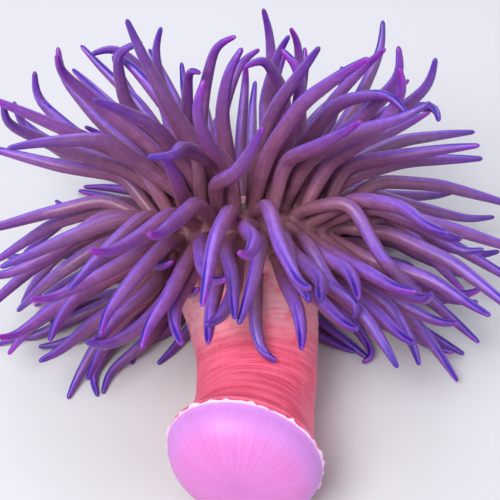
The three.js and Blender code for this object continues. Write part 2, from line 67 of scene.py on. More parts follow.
# ------------------------ sizes and colours


def amount(name, description, default, low, high):
    """A whole number that a user can change."""
    return bpy.props.IntProperty(name=name, description=description, default=default, min=low, max=high)


def measure(name, description, default):
    """A length that a user can change."""
    return bpy.props.FloatProperty(name=name, description=description, default=default, unit="LENGTH")


class AnemoneSizes(bpy.types.PropertyGroup):
    """How finely the skin is made, and the small forms that the frame's solids leave out."""

    tentacle_sides: amount("Tentacle sides", "Faces round a tentacle", 12, 8, 24)
    tentacle_rings: amount("Tentacle rings", "Rings along a tentacle", 32, 12, 60)
    tentacle_fullness: bpy.props.FloatProperty(
        name="Fullness",
        description="Round radius of a tentacle over that of a circle as large as its solid section",
        default=1.07,
        min=0.8,
        max=1.2,
    )
    root_depth: measure("Root depth", "How deep a tentacle is set in the crown", 0.004)
    root_easing: amount("Root easing", "Rounds of smoothing where tentacles meet the crown", 10, 0, 60)
    body_sides: amount("Body sides", "Faces round the foot and column", 96, 24, 160)
    frill_height: measure("Frill", "How far the thin torn edge of the foot stands out", 0.0022)
    wrinkle_depth: measure("Wrinkles", "Depth of the ring wrinkles round the column", 0.0006)


def colour(code):
    """A colour written as six hexadecimal digits, in the linear values that nodes use."""
    parts = [int(code[place : place + 2], 16) / 255 for place in (0, 2, 4)]
    return (*(part / 12.92 if part <= 0.04045 else ((part + 0.055) / 1.055) ** 2.4 for part in parts), 1)


def tint(name, description, code):
    """A colour that a user can change."""
    return bpy.props.FloatVectorProperty(
        name=name, description=description, subtype="COLOR", size=3, min=0, max=1, default=colour(code)[:3]
    )


class AnemoneColours(bpy.types.PropertyGroup):
    """The skin's colours. Those along a tentacle are in the ramps of the tentacles' look."""

    column: tint("Column", "The column's ridges", "fd7293")
    # Painted shade: the furrows between the column's ridges are darker than the ridges.
    furrow: tint("Furrows", "Between the column's ridges", "e44e6e")
    pale: tint("Pale", "The column's pale lines and its top", "f6b8c4")
    sole: tint("Sole", "The middle of the foot's underside", "d474c0")
    sole_pale: tint("Pale sole", "The underside's pale rays", "d884ce")
    sole_line: tint("Sole lines", "Fine lines on the underside", "c86bbd")
    sole_edge: tint("Sole edge", "The underside near its edge", "c68be0")
    frill: tint("Frill", "The torn edge of the foot", "f3d4e8")
    disc: tint("Disc", "The crown and the disc round the mouth", "855464")
    disc_pale: tint("Pale disc", "The crown's paler patches", "96606c")
    lips: tint("Lips", "Round the mouth", "e6a0b4")
    # Painted light: the tentacles' upper sides, turned to the light from above, are violet-blue.
    cool: tint("Cool", "The tentacles' upper sides", "9466ea")
    # Painted light: a dark indigo line along the edge of the tentacles' lit upper sides, near the tips.
    rim: tint("Rim", "The line along their upper sides near the tips", "2a0890")
    # Painted light: the tentacles' lower, shaded sides are warm, as if lit through the flesh.
    warm: tint("Warm", "The tentacles' lower sides", "b4606c")
    deep: tint("Deep", "The tentacles' darker streaks", "5c3068")
    haze: tint("Haze", "The tentacles' paler streaks", "b892d0")


def sizes():
    """The sizes that the user can change."""
    return bpy.context.scene.anemone_sizes


# ------------------------ reading the frame


def read(items, key, width, kind=np.float32):
    """A property of each of a mesh's items, as a row for each."""
    values = np.empty(len(items) * width, kind)
    items.foreach_get(key, values)
    return values.reshape(-1, width)


def points_of(mesh):
    """The places of a mesh's points, as a row for each."""
    return read(mesh.vertices, "co", 3).astype(float)


class Solid:
    """One or more solids of the frame, as points and triangles of point numbers."""

    def __init__(self, *nodes):
        corners = []
        for node in nodes:
            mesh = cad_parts[node].data
            mesh.calc_loop_triangles()
            order = read(mesh.loop_triangles, "vertices", 3, int)
            corners.append(points_of(mesh)[order.ravel()])
        self.points, order = np.unique(np.concatenate(corners), axis=0, return_inverse=True)
        self.faces = order.reshape(-1, 3)

    def neighbours(self):
        """The points that share an edge with each point."""
        around = [set() for _ in self.points]
        for a, b, c in self.faces:
            around[a].update((b, c))
            around[b].update((a, c))
            around[c].update((a, b))
        return around

    def slice(self, point, normal):
        """The closed loops, as arrays of points in order, in which a plane cuts the solids."""
        above = (self.points - point) @ normal
        signs = above[self.faces] < 0
        cut = self.faces[signs.any(1) & ~signs.all(1)]
        links, places = {}, {}
        for face in cut:
            ends = []
            for a, b in ((face[0], face[1]), (face[1], face[2]), (face[2], face[0])):
                if (above[a] < 0) != (above[b] < 0):
                    key = (min(a, b), max(a, b))
                    share = above[a] / (above[a] - above[b])
                    places[key] = self.points[a] + (self.points[b] - self.points[a]) * share
                    ends.append(key)
            links.setdefault(ends[0], []).append(ends[1])
            links.setdefault(ends[1], []).append(ends[0])
        loops = []
        while links:
            key, ways = links.popitem()
            loop = [key]
            while ways:
                key = next((way for way in ways if way in links), None)
                if key is None:
                    break
                loop.append(key)
                ways = links.pop(key)
            if len(loop) > 2:
                loops.append(np.array([places[key] for key in loop]))
        return loops


def unit(vector):
    """A vector's direction, of length 1."""
    return vector / np.linalg.norm(vector)


# The crown's outline in millimetres, as distances from its axis and heights over its middle.
CROWN_EDGE = [(47, -14), (50, -13.4), (55, -9.6), (57.6, -4), (58.3, 0)]
CROWN_EDGE += [(57.2, 5), (54, 9), (49.5, 11.6), (44.6, 12.8)]
CROWN_BASE = 0.014  # how far the crown's middle is over the end of the column
CROWN_UNDERSIDE = 0.026  # how far under its middle the crown ends
CROWN_CORE = 0.046  # radius of the flat circle in the thick of the crown,
CORE_SINK = 0.002  # which lies this far under the crown's middle
DISC_RADIUS = 0.0446
DISC_TOP = 0.020  # how far the disc's middle is over the crown's
DISC_DOMING = 3.6
MARGIN_RADIUS = 0.0575  # the crown's margin, round the disc, as far as it can hold a root
MARGIN_TOP = 0.0105  # its height
MARGIN_BEND = 0.05  # at this distance from the axis,
MARGIN_FALL = 0.7  # from which it falls outwards this steeply


def disc_height(out):
    """How far the disc is over the crown's middle, at a distance from the axis."""
    return DISC_TOP - DISC_DOMING * out * out


def hubs_of(node):
    """The two points at which the facets of a turned solid's ends meet."""
    solid = Solid(node)
    around = [len(near) for near in solid.neighbours()]
    return [solid.points[number] for number in np.argsort(around)[-2:]]


class Crown:
    """The place and direction of the crown, which carries the tentacles."""

    def __init__(self):
        seat, top = sorted(hubs_of("oral_disc"), key=lambda point: point[1])
        self.axis = unit(top - seat)
        self.middle = seat + self.axis * CROWN_BASE
        self.seat = seat

    def core(self, point):
        """The nearest place, sideways, on the flat circle in the thick of the crown."""
        spoke = point - self.middle
        spoke = spoke - self.axis * (spoke @ self.axis)
        return self.middle + unit(spoke) * min(CROWN_CORE, np.linalg.norm(spoke)) - self.axis * CORE_SINK

    def holds(self, point, depth=0.0):
        """Whether a point lies in the crown, at least as deep as given."""
        spoke = point - self.middle
        up = spoke @ self.axis
        out = np.linalg.norm(spoke - self.axis * up)
        if up < -CROWN_UNDERSIDE:
            return False
        if out < DISC_RADIUS:
            return up < disc_height(out) - depth
        top = MARGIN_TOP - depth * 0.5 - (out - MARGIN_BEND) * MARGIN_FALL
        return out < MARGIN_RADIUS - depth and up < top


TIP_REACHES = (0.017, 0.025, 0.011, 0.035)  # how much of a tip is looked at for its direction, in turn
TIP_NEARER = 0.3  # the share of such a reach that is too near the tip to show its direction
NEAREST_TIP = 0.066  # how far from the crown's middle a tip is at least
PROBE = 0.0062  # radius of the disc of dots that feels for a tentacle's section
DOT_SPACING = 0.0008  # between those dots
STEP = 0.003  # from one section of a tentacle to the next
LEAST_STEP = STEP / 9  # a tentacle that moves on by less has ended
MOST_STEPS = 60  # a tentacle that takes more leads nowhere
HEADING_KEPT = 0.55  # how much of its old heading a tentacle keeps at each section
TRIES_EACH = 3  # tips are tried until this many for each tentacle have been
ROOT_REACH = 0.02  # a tentacle that ends this near the thick of the crown has reached its root
SHORTEST_TENTACLE = 0.036
TWIN_TIPS = 0.007  # tips nearer than this belong to one tentacle
TENTACLES_EACH = {"margin": 4, "outer": 2, "middle": 2, "inner": 3}  # how many each piece of the crown bears


def dots_in(radius, spacing):
    """The dots of a square grid that lie in a circle."""
    span = np.arange(-radius, radius + spacing / 2, spacing)
    dots = np.stack(np.meshgrid(span, span), -1).reshape(-1, 2)
    return dots[np.linalg.norm(dots, axis=1) <= radius]


DOTS = dots_in(PROBE, DOT_SPACING)


def dots_inside(loop):
    """Which of the probe's dots lie inside a flat loop."""
    x, y = DOTS[:, 0, None], DOTS[:, 1, None]
    following = np.roll(loop, -1, 0)
    rise = following[:, 1] - loop[:, 1]
    rise[rise == 0] = 1e-12
    crossing = (loop[:, 1] > y) != (following[:, 1] > y)
    at = loop[:, 0] + (y - loop[:, 1]) * (following[:, 0] - loop[:, 0]) / rise
    return (np.sum(crossing & (x < at), 1) % 2).astype(bool)


def points_along(solid, around, start, reach):
    """The points near one point, by their way along the edges, apart from the very nearest."""
    gone, waiting = {start: 0.0}, [start]
    while waiting:
        here = waiting.pop()
        for there in around[here]:
            way = gone[here] + np.linalg.norm(solid.points[there] - solid.points[here])
            if way < reach and way < gone.get(there, reach):
                gone[there] = way
                waiting.append(there)
    return solid.points[[number for number, way in gone.items() if way > TIP_NEARER * reach]]


def section_at(solid, place, heading):
    """The middle and radius of the tentacle that the plane at a place cuts nearest to it, or None."""
    side = unit(np.cross(heading, (0.0, 0.0, 1.0) if abs(heading[2]) < 0.9 else (1.0, 0.0, 0.0)))
    axes = np.stack([side, np.cross(heading, side)], 1)
    cuts = [dots_inside((loop - place) @ axes) for loop in solid.slice(place, heading)]
    cuts = [inside for inside in cuts if inside.any()]
    if not cuts:
        return None
    nearest = min(cuts, key=lambda inside: np.linalg.norm(DOTS[inside], axis=1).min())
    return place + axes @ DOTS[nearest].mean(0), PROBE * math.sqrt(nearest.mean())


def follow_tentacle(solid, crown, place, heading):
    """The middles and radii of a tentacle's sections, from a place in it to where it enters the crown."""
    middles, radii = [], []
    for _ in range(MOST_STEPS):
        for _ in range(2):
            found = section_at(solid, place + heading * STEP, heading)
            if found is None or np.linalg.norm(found[0] - place) < LEAST_STEP:
                ended = len(middles) and np.linalg.norm(place - crown.core(place)) < ROOT_REACH
                return (np.array(middles), np.array(radii)) if ended else None
            heading = unit(heading * HEADING_KEPT + unit(found[0] - place) * (1 - HEADING_KEPT))
        middles.append(found[0])
        radii.append(found[1])
        place = found[0]
        if crown.holds(place):
            return np.array(middles), np.array(radii)
    return None


def starts_at(solid, around, tip):
    """Places near a tip with the way on from there, in the order in which they are tried."""
    ring = around[tip]
    next_ring = set().union(*(around[number] for number in ring)) - ring - {tip}
    middle = solid.points[list(ring)].mean(0)
    yield middle, unit(solid.points[list(next_ring)].mean(0) - middle)
    for reach in TIP_REACHES:
        nearby = points_along(solid, around, tip, reach)
        if len(nearby):
            yield solid.points[tip], unit(nearby.mean(0) - solid.points[tip])


def likely_tips(solid, around, crown):
    """The points away from the crown, beginning with the one at which edges meet most sharply."""
    ranks = []
    for number, near in enumerate(around):
        if np.linalg.norm(solid.points[number] - crown.middle) > NEAREST_TIP:
            edges = solid.points[list(near)] - solid.points[number]
            edges /= np.linalg.norm(edges, axis=1)[:, None]
            ranks.append((-np.linalg.norm(edges.mean(0)), number))
    return [number for _, number in sorted(ranks)]


def tentacle_from(solid, around, crown, tip):
    """A tentacle as the middles and radii of its sections at even steps from the tip, or None."""
    for place, heading in starts_at(solid, around, tip):
        found = follow_tentacle(solid, crown, place, heading)
        if found and len(found[0]) * STEP > SHORTEST_TENTACLE:
            middles = np.concatenate([[solid.points[tip]], found[0]])
            even = evenly(middles, round(distances_along(middles)[-1] / STEP))
            radii = np.concatenate([found[1][:1] * 0.5, found[1]])
            return even, np.interp(distances_along(even), distances_along(middles), radii)
    return None


def tentacles_of(node, crown):
    """Each tentacle of a node, as its middles and radii from the tip."""
    solid = Solid(node)
    around = solid.neighbours()
    count = next(TENTACLES_EACH[band] for band in TENTACLES_EACH if band in node)
    lines = []
    for tip in likely_tips(solid, around, crown)[: count * TRIES_EACH]:
        apart = all(np.linalg.norm(solid.points[tip] - middles[0]) > TWIN_TIPS for middles, radii in lines)
        line = tentacle_from(solid, around, crown, tip) if apart and len(lines) < count else None
        if line:
            lines.append(line)
    if len(lines) < count:
        raise RuntimeError(f"{node} should have {count} tentacles, and {len(lines)} could be followed")
    return lines


# ------------------------ modelling tools


def select_only(obj):
    """Leaves one object selected and active, in object mode."""
    if bpy.context.mode != "OBJECT":
        bpy.ops.object.mode_set(mode="OBJECT")
    bpy.ops.object.select_all(action="DESELECT")
    obj.hide_set(False)
    obj.select_set(True)
    bpy.context.view_layer.objects.active = obj


def apply_modifier(obj, modifier):
    """Makes a modifier's result the object's own mesh."""
    select_only(obj)
    bpy.ops.object.modifier_apply(modifier=modifier.name)


def turned(name, outline, sides):
    """A turned shape whose rings are (radius, height) pairs, closed at both ends by a fan of faces."""
    bpy.ops.object.select_all(action="DESELECT")
    radius, height = outline[0]
    place = 0, 0, height
    bpy.ops.mesh.primitive_circle_add(vertices=sides, radius=radius, fill_type="TRIFAN", location=place)
    obj = bpy.context.object
    obj.name = name
    bpy.ops.object.transform_apply(location=True, rotation=True, scale=True)
    bpy.ops.object.mode_set(mode="EDIT")
    bpy.ops.mesh.select_all(action="SELECT")
    for wider, higher in outline[1:]:
        bpy.ops.mesh.extrude_region_move(TRANSFORM_OT_translate={"value": (0, 0, higher - height)})
        factor = wider / radius
        bpy.ops.transform.resize(value=(factor, factor, 1), center_override=(0, 0, higher))
        radius, height = wider, higher
    bpy.ops.mesh.select_all(action="SELECT")
    bpy.ops.mesh.normals_make_consistent(inside=False)
    bpy.ops.object.mode_set(mode="OBJECT")
    return obj


def move_points(mesh, places):
    """Puts each point of a mesh at a new place."""
    mesh.vertices.foreach_set("co", np.asarray(places, np.float32).ravel())
    mesh.update()


def set_values(mesh, name, values):
    """Gives each point its number or three numbers, or all of them the same number, as an attribute."""
    values = np.asarray(values, np.float32)
    if not values.ndim:
        values = np.full(len(mesh.vertices), values)
    kind, key = ("FLOAT_VECTOR", "vector") if values.shape[1:] == (3,) else ("FLOAT", "value")
    attribute = mesh.attributes.get(name) or mesh.attributes.new(name, kind, "POINT")
    attribute.data.foreach_set(key, values.ravel())


def read_values(mesh, name):
    """An attribute's values, as a row for each point."""
    attribute = mesh.attributes[name]
    key, width = ("vector", 3) if attribute.data_type == "FLOAT_VECTOR" else ("value", 1)
    return read(attribute.data, key, width).astype(float)


def smoothed(points, times):
    """A line of points, eased several times, with its ends where they were."""
    points = points.copy()
    for _ in range(times):
        points[1:-1] = (points[:-2] + 2 * points[1:-1] + points[2:]) / 4
    return points


def distances_along(points):
    """How far along a line of points each of them is."""
    return np.concatenate([[0], np.cumsum(np.linalg.norm(np.diff(points, axis=0), axis=1))])


def rows_at(at, marks, rows):
    """Rows of three numbers, one for each mark, read off at other places between the marks."""
    return np.stack([np.interp(at, marks, rows[:, axis]) for axis in range(3)], -1)


def evenly(points, count):
    """That many points at even distances along a line of points."""
    gone = distances_along(points)
    return rows_at(np.linspace(0, gone[-1], count), gone, points)


def path_object(name, points, radius=1.0):
    """A path for a Curve modifier, with the same radius along it."""
    curve = bpy.data.curves.new(name, "CURVE")
    curve.dimensions = "3D"
    curve.twist_mode = "MINIMUM"
    spline = curve.splines.new("POLY")
    spline.points.add(len(points) - 1)
    spline.points.foreach_set("co", np.column_stack([points, np.ones(len(points))]).ravel())
    spline.points.foreach_set("radius", np.full(len(points), radius))
    path = bpy.data.objects.new(name, curve)
    bpy.context.scene.collection.objects.link(path)
    return path


def remove(obj):
    """Deletes an object with its mesh or curve."""
    data = obj.data
    bpy.data.objects.remove(obj)
    {bpy.types.Mesh: bpy.data.meshes, bpy.types.Curve: bpy.data.curves}[type(data)].remove(data)


def bend_along(obj, path, stretch):
    """Bends a shape that stands along Z to a path, stretched to its length or not, and deletes the path."""
    path.data.use_stretch = stretch
    path.data.use_deform_bounds = stretch
    modifier = obj.modifiers.new("Curve", "CURVE")
    modifier.object = path
    modifier.deform_axis = "POS_Z"
    apply_modifier(obj, modifier)
    remove(path)


ON_AXIS = 1e-7  # what is nearer to the axis of a turned shape than this is on it


def lay_map(mesh, upwards):
    """Maps a turned shape to the unit square: its angle goes across and `upwards`, one number a point, up."""
    for layer in list(mesh.uv_layers):
        mesh.uv_layers.remove(layer)
    loops = read(mesh.loops, "vertex_index", 1, int)[:, 0]
    places = points_of(mesh)[loops]
    across = np.arctan2(places[:, 1], places[:, 0]) / (2 * math.pi) % 1
    hub = np.hypot(places[:, 0], places[:, 1]) < ON_AXIS
    for face in mesh.polygons:
        corners = np.arange(face.loop_start, face.loop_start + face.loop_total)
        rim = corners[~hub[corners]]
        if np.ptp(across[rim]) > 0.5:
            across[rim] += across[rim] < 0.5
        across[corners[hub[corners]]] = across[rim].mean()
    layer = mesh.uv_layers.new(name=MAP_NAME)
    layer.data.foreach_set("uv", np.column_stack([across, upwards[loops]]).astype(np.float32).ravel())


def fit_map(mesh, left, bottom, width, height):
    """Moves a piece's map from the unit square to its own part of the skin's map."""
    layer = mesh.uv_layers[MAP_NAME]
    corners = read(layer.data, "uv", 2) * (width, height) + (left, bottom)
    layer.data.foreach_set("uv", corners.astype(np.float32).ravel())


# ------------------------ foot, column and crown

BODY_STEP = 0.0016  # between the rings of the column's skin
SOLE_ANGLES = np.radians(np.arange(1.5, 84, 5.5))  # of the sole's rings, from its middle
SOLE_DOME = 0.024
SOLE_RADIUS = 0.0402
SOLE_PUFF = 0.72  # less than 1 makes the sole's sides fuller
FOOT_LONG = 1.09  # the foot is longer one way than the other, as shares of its radius,
FOOT_SHORT = 0.97
FOOT_TILT = math.radians(33)  # and its long way runs down to the right
RIM = 0.0245  # how far along the body the rim of the foot is
FOOT_END = RIM + 0.014  # where the column is round again,
FOOT_CHANGE = 0.010  # over this length
FRILL_MIDDLE = 0.0249  # the frill is the part that is within half its thickness of here,
FRILL_HALF = 0.0009
FRILL_INSIDE = 0.0410  # and further out than this
FRILL_WAVE = 0.0009  # how far its edge swings to and fro
# The rings of the torn edge, as radii and distances from the sole, and of the mouth, as radii and heights.
FRILL = [(0.0404, 0.0238), (0.0409, 0.0243), (0.0416, 0.0247), (0.0416, 0.0251), (0.0400, 0.0256)]
FRILL += [(0.0388, 0.0266)]
MOUTH = [(0.0100, 0.0199), (0.0076, 0.0202), (0.0064, 0.0216), (0.0058, 0.0236), (0.0046, 0.0244)]
MOUTH += [(0.0034, 0.0234), (0.0027, 0.0205), (0.0022, 0.0165), (0.0012, 0.0140)]
MOUTH_RADIUS = 0.009
MOUTH_LONGER = 0.3  # the mouth is drawn out into a slit, by these shares
MOUTH_NARROWER = 0.35
DISC_RINGS = np.linspace(0.0425, 0.0125, 13)  # radii of the rings of the disc
WRINKLE_TURNS = 760  # radians of wrinkle for each metre of column
SWELL = 0.0007  # how uneven the column is
LINE_POINTS = 120
LOOK_AHEAD = 0.002  # over this length the body line's heading is taken
GIRTH_STEP = 0.004


class BodyLine:
    """The line through the middle of the foot, column and crown, measured from the sole."""

    def __init__(self, crown):
        hubs = [hub for node in NODES if node.startswith("column") for hub in hubs_of(node)]
        hubs += hubs_of("pedal_disc")
        hubs.sort(key=lambda point: point[1])
        joints = [(hubs[number] + hubs[number + 1]) / 2 for number in (1, 3, 5)]
        marks = [hubs[0], *joints, crown.seat]
        marks += [crown.seat + crown.axis * height for height in (0.035, 0.07)]
        marks.insert(0, marks[0] * 2 - marks[1])
        line = []  # a smooth curve through the marks
        for a, b, c, d in zip(marks[:-3], marks[1:-2], marks[2:-1], marks[3:]):
            for t in np.linspace(0, 1, 24, endpoint=False):
                square = (2 * a - 5 * b + 4 * c - d) * t**2
                cube = (3 * b - a - 3 * c + d) * t**3
                line.append((2 * b + (c - a) * t + square + cube) / 2)
        line.append(marks[-2])
        self.points = smoothed(evenly(np.array(line), LINE_POINTS), 2)
        self.gone = distances_along(self.points)
        self.seat = float(np.interp(0, (self.points - crown.seat) @ crown.axis, self.gone))

    def at(self, distance):
        """The place and heading at a distance from the sole."""
        place, ahead = rows_at(np.array((distance, distance + LOOK_AHEAD)), self.gone, self.points)
        return place, unit(ahead - place)


def girths(line):
    """Even distances from the sole along the column, and the column's radius at each."""
    solid = Solid("pedal_disc", "column_lower", "column_middle", "column_upper")
    at = np.arange(RIM + 0.003, line.seat - 0.002, GIRTH_STEP)
    radii = []
    for distance in at:
        place, heading = line.at(distance)
        ring = max(solid.slice(place, heading), key=lambda loop: np.ptp(loop, axis=0).sum())
        radii.append(np.percentile(np.linalg.norm(ring - place, axis=1), 75))
    return at, smoothed(np.array(radii)[:, None], 3)[:, 0]


def body_outline(line):
    """The rings of the whole body, from the middle of the sole to the bottom of the mouth."""
    outline = []
    for angle in SOLE_ANGLES:
        outline.append((SOLE_RADIUS * math.sin(angle) ** SOLE_PUFF, SOLE_DOME * (1 - math.cos(angle))))
    outline += FRILL
    at, radii = girths(line)
    for distance in np.arange(outline[-1][1] + BODY_STEP, line.seat - 0.001, BODY_STEP):
        outline.append((float(np.interp(distance, at, radii)), float(distance)))
    outline += [(out / 1000, line.seat + CROWN_BASE + up / 1000) for out, up in CROWN_EDGE]
    for out in DISC_RINGS:
        outline.append((float(out), line.seat + CROWN_BASE + disc_height(out)))
    return outline + [(out, line.seat + CROWN_BASE + up) for out, up in MOUTH]


def ripple(turn, distance, waves, seed):
    """A smooth unevenness round and along a body, between -1 and 1, the same every time."""
    rng = np.random.default_rng(seed)
    total = np.zeros_like(turn)
    for _ in range(waves):
        sideways, lengthways = rng.integers(1, 7), rng.uniform(30, 190)
        total += np.sin(sideways * turn + lengthways * distance + rng.uniform(0, 6.3))
    return total / waves


class ANEMONE_OT_body(bpy.types.Operator):
    """Makes the foot, column and crown as one closed skin"""

    bl_idname = "anemone.body"
    bl_label = "Body"

    def execute(self, context):
        own = sizes()
        crown = Crown()
        line = BodyLine(crown)
        body = turned(BODY_NAME, body_outline(line), own.body_sides)
        places = points_of(body.data)
        turn = np.arctan2(places[:, 1], places[:, 0])
        out, distance = np.hypot(places[:, 0], places[:, 1]), places[:, 2].copy()
        column = np.clip((distance - RIM - 0.002) / 0.004, 0, 1)
        column *= np.clip((line.seat - distance) / 0.006, 0, 1)
        column[out < 0.03] = 0
        at_frill = np.clip(1 - np.abs(distance - FRILL_MIDDLE) / FRILL_HALF, 0, 1) * (out > FRILL_INSIDE)
        furrows = np.abs(np.sin(distance * WRINKLE_TURNS + 1.6 * ripple(turn, distance, 6, 3))) ** 0.6 - 0.7
        swell = ripple(turn, distance, 8, 5) * SWELL
        rags = np.sin(turn * 19 + 3 * np.sin(turn * 5))
        small_rags = np.sin(turn * 37 + 2 * np.sin(turn * 3))
        ragged = rags * 0.6 + small_rags * 0.6 - 0.1
        grown = column * (own.wrinkle_depth * furrows + swell) + at_frill * own.frill_height * 0.6 * ragged
        grown = np.where(out > ON_AXIS, grown / np.maximum(out, ON_AXIS), 0)
        places[:, 2] += at_frill * FRILL_WAVE * np.sin(turn * 31 + 2 * np.sin(turn * 4))
        reach = 1 / np.hypot(np.cos(turn - FOOT_TILT) / FOOT_LONG, np.sin(turn - FOOT_TILT) / FOOT_SHORT)
        reach = 1 + (reach - 1) * np.clip((FOOT_END - distance) / FOOT_CHANGE, 0, 1)
        places[:, :2] *= ((1 + grown) * reach)[:, None]
        mouth = np.clip((MOUTH_RADIUS - out) / 0.004, 0, 1) * (distance > line.seat)
        places[:, 1] *= 1 + MOUTH_LONGER * mouth
        places[:, 0] *= 1 - MOUTH_NARROWER * mouth
        ring = (np.arange(len(places)) - 1) // own.body_sides + 1
        lay_map(body.data, ring / (len(places) / own.body_sides))
        fit_map(body.data, MAP_MARGIN, MAP_MARGIN, 1 - 2 * MAP_MARGIN, MAP_FLOOR - 2 * MAP_MARGIN)
        move_points(body.data, places)
        measures = {"tentacle": 0, "lengthwise": 0, "ridge": 0, "tone": 0.5, "outward": out}
        measures["bodywise"] = distance / line.seat
        measures["round"] = np.stack([np.cos(turn), np.sin(turn), distance], 1)
        for name, values in measures.items():
            set_values(body.data, name, values)
        path = path_object("body_path", line.points)
        path.data.twist_mode = "Z_UP"
        bend_along(body, path, stretch=False)
        places = points_of(body.data)
        places[:, 2] = np.maximum(places[:, 2], 0)
        move_points(body.data, places)
        return {"FINISHED"}


# ------------------------ tentacles

# A tentacle's thickness over its greatest, at shares of its length from the root.
TAPER = [(0, 0.98), (0.05, 0.87), (0.14, 0.91), (0.3, 1), (0.45, 0.975)]
TAPER += [(0.6, 0.92), (0.75, 0.76), (0.89, 0.56), (0.95, 0.43), (0.972, 0.37)]
TIP_START = 0.972  # share of the length at which the tip begins to round off
TIP_ANGLES = np.radians((24, 46, 66, 82))  # of the rounded tip's rings
LIT_SIDE = np.array((-0.55, 0.40, 0.86))  # the side from which the light falls, along which the tentacles' painted light makes them most violet
PAST_CROWN = 1.15  # "bodywise" on a tentacle: on the body it goes from 0 at the sole to 1 at the crown
BESIDE_MOUTH = 0.05  # "outward" on a tentacle
ROOT_STEP = 0.001  # in such steps a root goes on into the crown
ROOT_LEAN = 0.35  # how much it turns towards the thick of the crown as it begins,
ROOT_TURN = 0.1  # and at each step


def taper(share):
    """A tentacle's thickness at a share of its length, over its greatest."""
    shares, radii = zip(*TAPER)
    return np.interp(share, shares, radii)


def tentacle_outline(rings):
    """The rings of a tentacle of unit length and thickness: its root is at height 0."""
    shares = np.linspace(0, TIP_START, rings)
    radii = smoothed(taper(shares)[:, None], 2)[:, 0]
    outline = [(float(radius), float(share)) for radius, share in zip(radii, shares)]
    last = outline[-1][0]
    for angle in TIP_ANGLES:
        outline.append((last * math.cos(angle), TIP_START + (1 - TIP_START) * math.sin(angle)))
    return outline


def tentacle_path(middles, crown, depth):
    """A tentacle's centre line from inside the crown to its tip."""
    line = middles[::-1][1:]
    inward = unit(unit(line[0] - line[3]) - unit(line[0] - crown.core(line[0])) * ROOT_LEAN)
    root = line[0] + inward * STEP
    while not crown.holds(root, depth):
        root = root + inward * ROOT_STEP
        inward = unit(inward + unit(crown.core(root) - root) * ROOT_TURN)
    line = smoothed(evenly(np.concatenate([[root], line]), len(line) + 2), 8)
    return smoothed(evenly(line, len(line) * 2), 4)


def lit_side_of(points, shares, path):
    """How nearly each point of a bent tentacle lies on the line along its lit upper side, where its painted
    light goes: 1 is on it.
    """
    at = distances_along(path) / distances_along(path)[-1]
    middles = rows_at(shares, at, path)
    ways = rows_at(shares, at, np.gradient(path, axis=0))
    ways /= np.linalg.norm(ways, axis=1)[:, None]
    upper = LIT_SIDE - (ways @ LIT_SIDE)[:, None] * ways
    upper /= np.linalg.norm(upper, axis=1)[:, None]
    out = points - middles
    out -= np.sum(out * ways, 1)[:, None] * ways
    return np.sum(out * upper, 1) / np.maximum(np.linalg.norm(out, axis=1), 0.0002)


class ANEMONE_OT_tentacles(bpy.types.Operator):
    """Makes one tentacle, and a bent copy of it for each tentacle of the frame"""

    bl_idname = "anemone.tentacles"
    bl_label = "Tentacles"

    def execute(self, context):
        own = sizes()
        crown = Crown()
        master = turned("tentacle_master", tentacle_outline(own.tentacle_rings), own.tentacle_sides)
        places = points_of(master.data)
        turn = np.arctan2(places[:, 1], places[:, 0])
        lay_map(master.data, places[:, 2])
        cell = 1 / MAP_COLUMNS, (1 - MAP_FLOOR) / MAP_ROWS
        measures = {"tentacle": 1, "bodywise": PAST_CROWN, "outward": BESIDE_MOUTH}
        measures["lengthwise"] = places[:, 2]
        for name, values in measures.items():
            set_values(master.data, name, values)
        made = []
        for node in NODES:
            if not node.startswith("tentacles_"):
                continue
            for middles, radii in tentacles_of(node, crown):
                path = tentacle_path(middles, crown, own.root_depth)
                length = distances_along(path)[-1]
                shares = 1 - np.arange(len(radii)) * STEP / length
                clear = slice(4, max(6, len(radii) - 6))
                thickness = float(np.median(radii[clear] / taper(shares[clear]))) * own.tentacle_fullness
                number = len(made) + 1
                piece = bpy.data.objects.new(f"tentacle_{number:03}", master.data.copy())
                context.scene.collection.objects.link(piece)
                set_values(piece.data, "tone", np.random.default_rng(number).uniform())
                around = np.stack([np.cos(turn), np.sin(turn), places[:, 2] * length], 1)
                set_values(piece.data, "round", around)
                row, column = divmod(len(made), MAP_COLUMNS)
                left, bottom = column * cell[0] + MAP_MARGIN, MAP_FLOOR + row * cell[1] + MAP_MARGIN
                fit_map(piece.data, left, bottom, cell[0] - 2 * MAP_MARGIN, cell[1] - 2 * MAP_MARGIN)
                bend_along(piece, path_object(f"path_{number:03}", path, thickness), stretch=True)
                # The ridge measure says how nearly a point faces the side on which the tentacles' painted
                # light falls.
                set_values(piece.data, "ridge", lit_side_of(points_of(piece.data), places[:, 2], path))
                made.append(piece)
        remove(master)
        bpy.ops.object.select_all(action="DESELECT")
        for piece in made:
            piece.select_set(True)
        context.view_layer.objects.active = made[0]
        bpy.ops.object.join()
        made[0].name = TENTACLES_NAME
        return {"FINISHED"}


# ------------------------ the skin


KNOWN_ROUND = 0.4  # "round" begins with a cosine and a sine, of length 1, but less on points the union made
SEAM_ROUNDS = 4  # how many points away from a known one a point is still given its measures
ROOT_BLUR = 6, 0.7  # rounds, and share of the way, in which a tentacle's look fades into the body's
EASED_LENGTH = 0.5  # the share of a tentacle's length in which its root is eased


def edge_ends(mesh):
    """The point numbers at the two ends of each edge."""
    return read(mesh.edges, "vertices", 2, int).T


